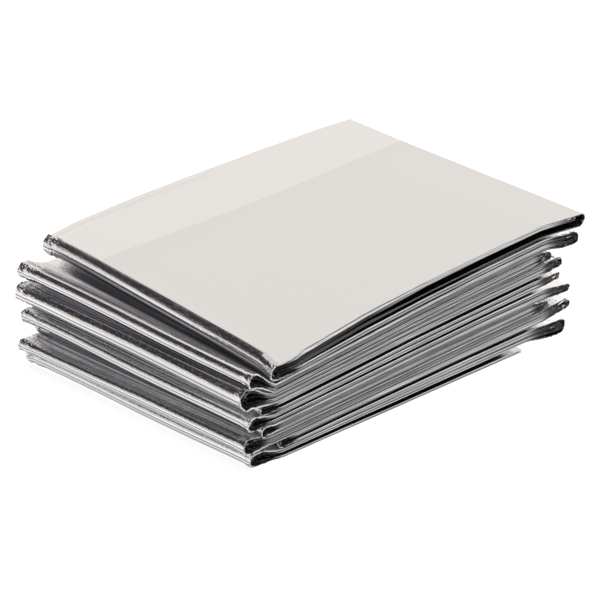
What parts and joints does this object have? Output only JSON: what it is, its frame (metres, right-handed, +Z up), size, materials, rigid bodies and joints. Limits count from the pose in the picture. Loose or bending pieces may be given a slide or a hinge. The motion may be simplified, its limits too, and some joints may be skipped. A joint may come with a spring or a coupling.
{
  "type": "emergency foil blanket",
  "caption": "Folded emergency foil blanket: one thin metallised film sheet doubled back and forth into a flat, loosely layered pack that lies on its lowest panel.",
  "frame": {"origin": "under the middle of the folded pack, on the surface that it lies on", "axes": "+X along the panels from the side with the long stepped noses to the side with the two loose ends, +Y along the fold lines to the back, +Z up through the layers"},
  "size_m": [0.1282, 0.0907, 0.0384],
  "materials": {
    "film": "polished"
  },
  "bodies": {
    "root": {"foil_blanket": "film"}
  },
  "joints": []
}
